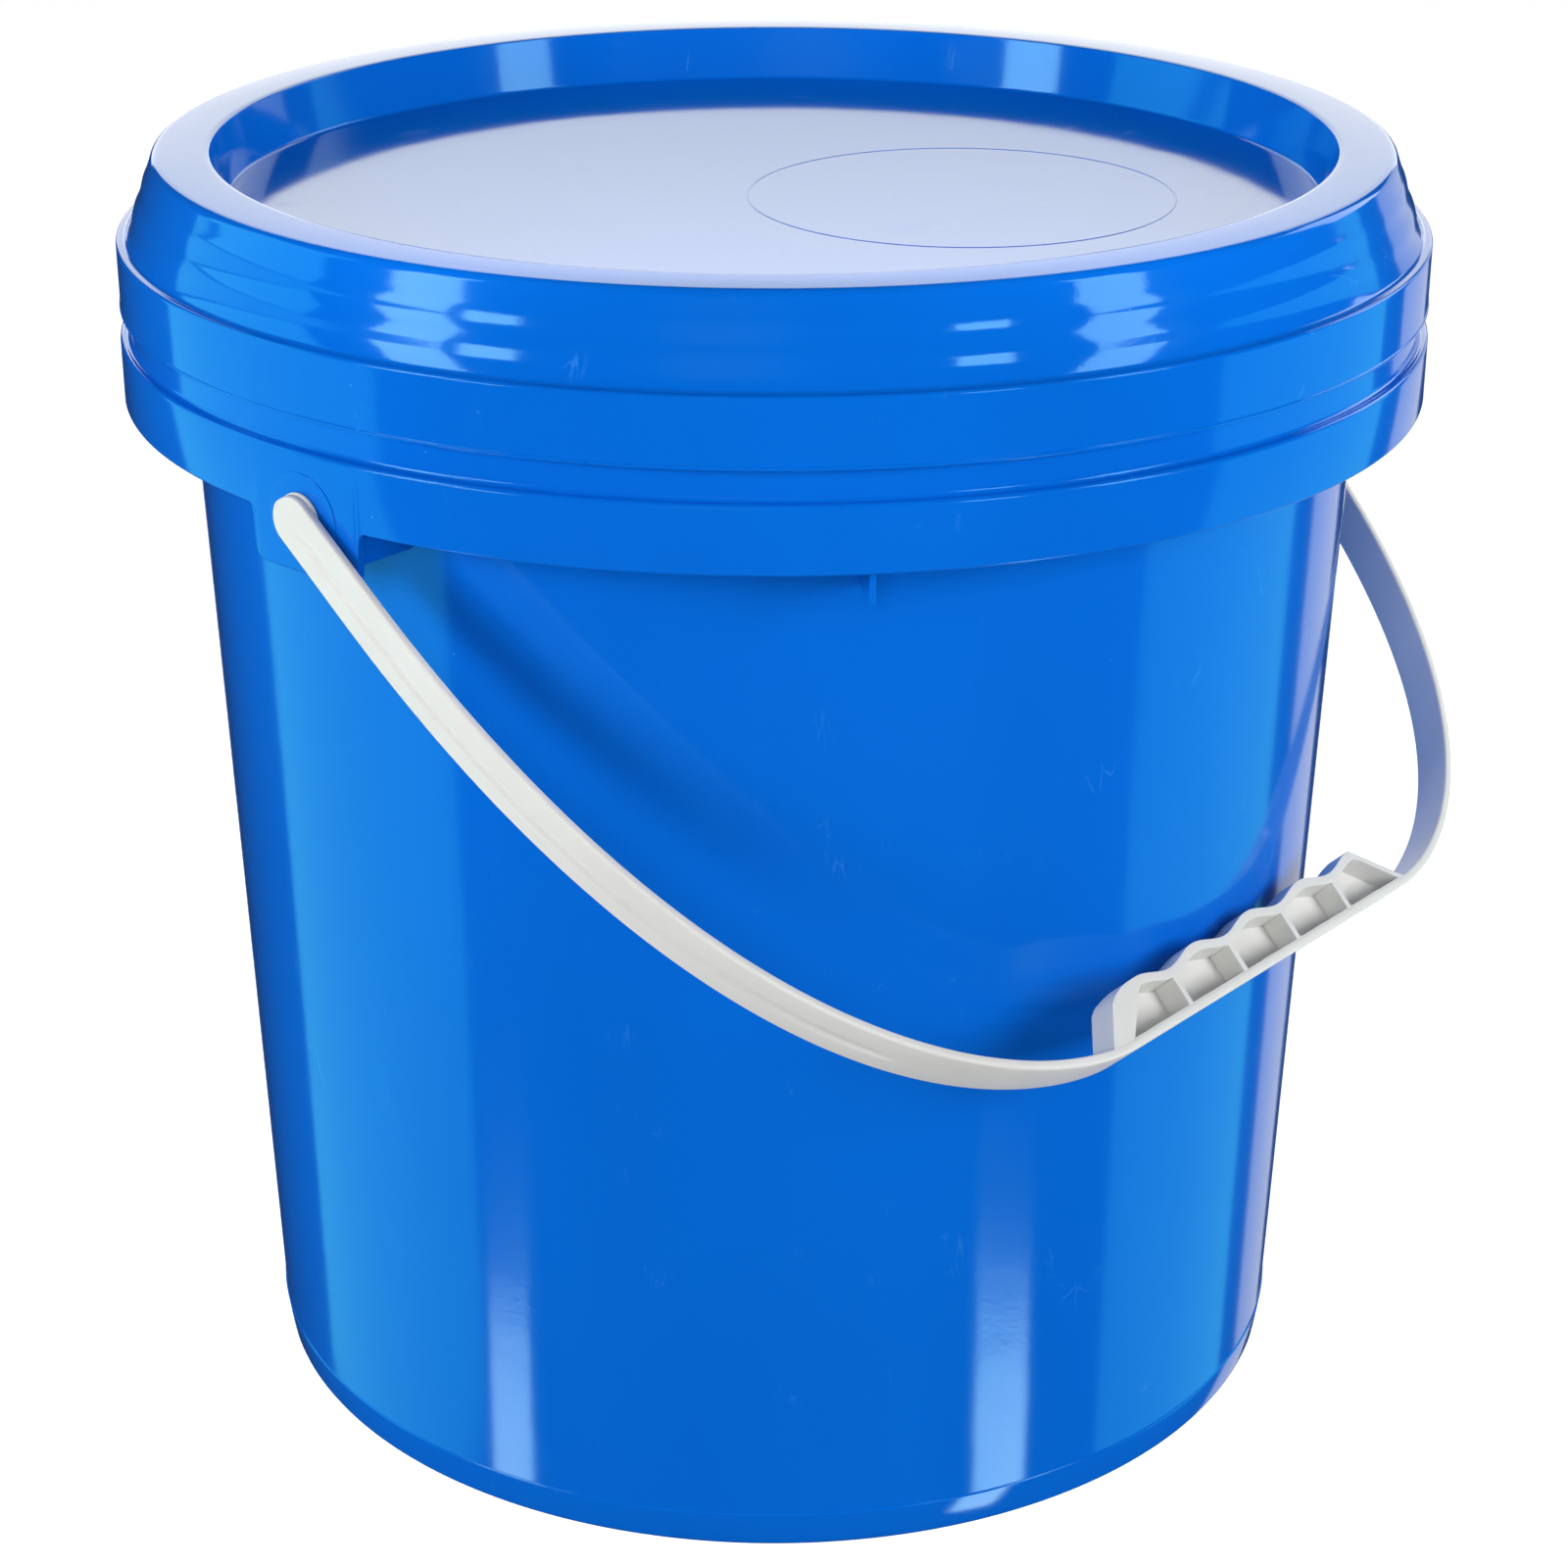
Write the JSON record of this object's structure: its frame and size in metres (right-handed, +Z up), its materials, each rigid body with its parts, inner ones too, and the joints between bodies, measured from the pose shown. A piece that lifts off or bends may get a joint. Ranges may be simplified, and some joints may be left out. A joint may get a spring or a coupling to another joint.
{
  "type": "wash bucket",
  "caption": "Round moulded plastic pail with a press-on sealed lid and a swinging plastic bail handle with a finger grip, for carrying and storing wash water.",
  "frame": {"origin": "on the bucket's axis, in the plane of the underside of its foot ring", "axes": "+Z up along the bucket's axis, X along the handle's hinge axis, and the handle hangs on the -Y side"},
  "size_m": [0.343, 0.336, 0.3334],
  "materials": {
    "blue_plastic": "glossy injection-moulded polypropylene, strong blue",
    "white_plastic": "satin natural white polyethylene",
    "grey_rubber": "matt closed-cell foam rubber"
  },
  "bodies": {
    "bucket": {"bucket": "blue_plastic"},
    "lid": {"lid": "blue_plastic", "lid_gasket": "grey_rubber"},
    "handle": {"handle": "white_plastic"}
  },
  "joints": [
    {"name": "handle_swing", "type": "hinge", "parent": "bucket", "child": "handle", "pos_m": [0, 0, 0.2724], "axis": [-1, 0, 0], "range_deg": [0, 255]},
    {"name": "lid_lift", "type": "slide", "parent": "bucket", "child": "lid", "axis": [0, 0, 1], "range_m": [0, 0.1]}
  ]
}
